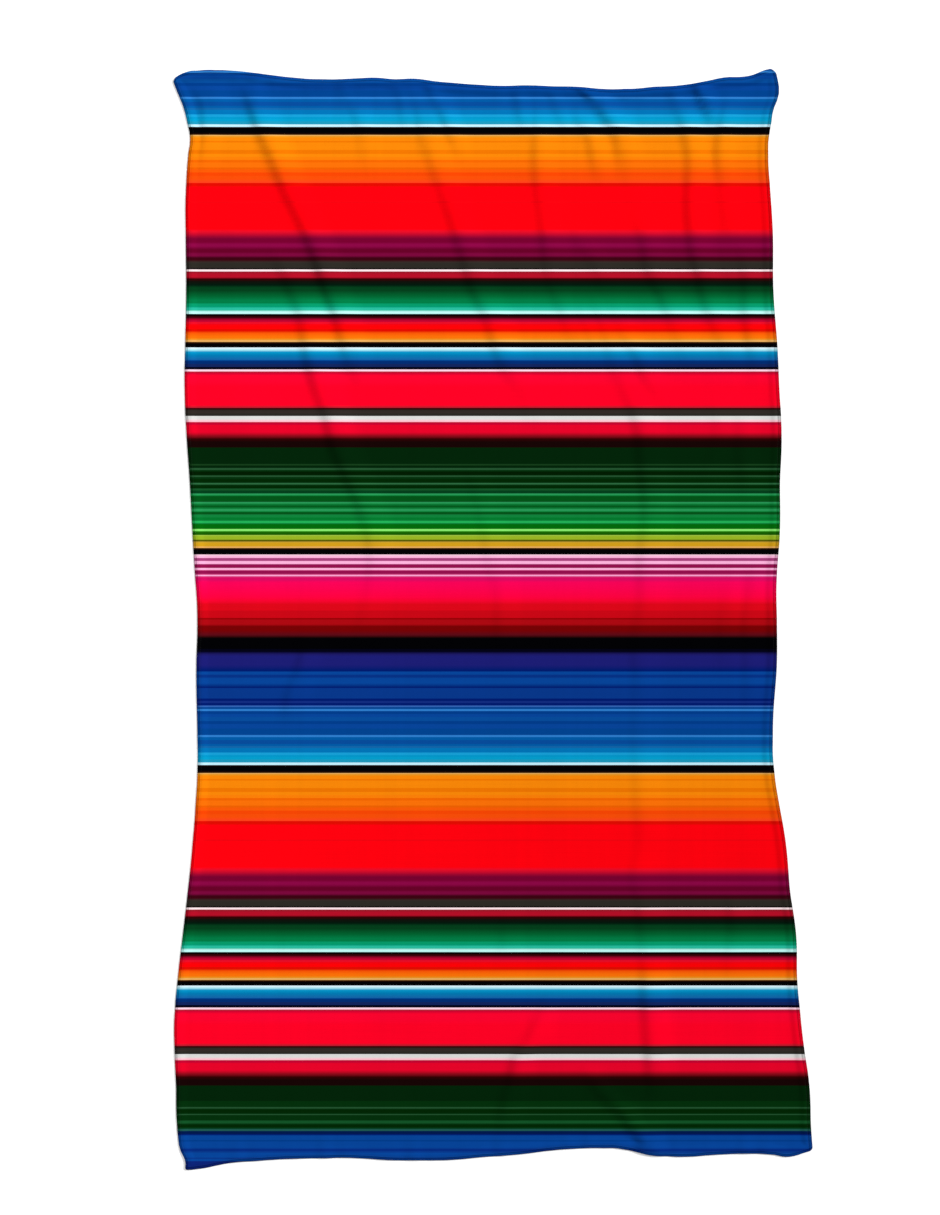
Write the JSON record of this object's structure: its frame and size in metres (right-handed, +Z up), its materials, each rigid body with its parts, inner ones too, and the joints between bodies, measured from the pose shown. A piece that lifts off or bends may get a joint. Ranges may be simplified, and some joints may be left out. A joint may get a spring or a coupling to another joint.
{
  "type": "mexican serape",
  "caption": "Mexican serape laid flat: a rectangular cloth in bright saltillo stripes, its edges turned under in narrow hems, with soft folds fanning down from the top.",
  "frame": {"origin": "centre of the bounding box, on the floor that the cloth lies on", "axes": "+X across the cloth, +Y along it towards the top end, where most folds start, +Z up from the floor through the cloth"},
  "size_m": [1.2611, 2.1696, 0.008],
  "materials": {
    "striped_cloth": "matt dense cloth in crosswise stripes",
    "hem_cloth": "matt dense cloth in crosswise stripes, turned under and stitched"
  },
  "bodies": {
    "root": {"striped_panel": "striped_cloth", "left_side_hem": "hem_cloth", "right_side_hem": "hem_cloth", "top_hem": "hem_cloth", "bottom_hem": "hem_cloth"}
  },
  "joints": []
}
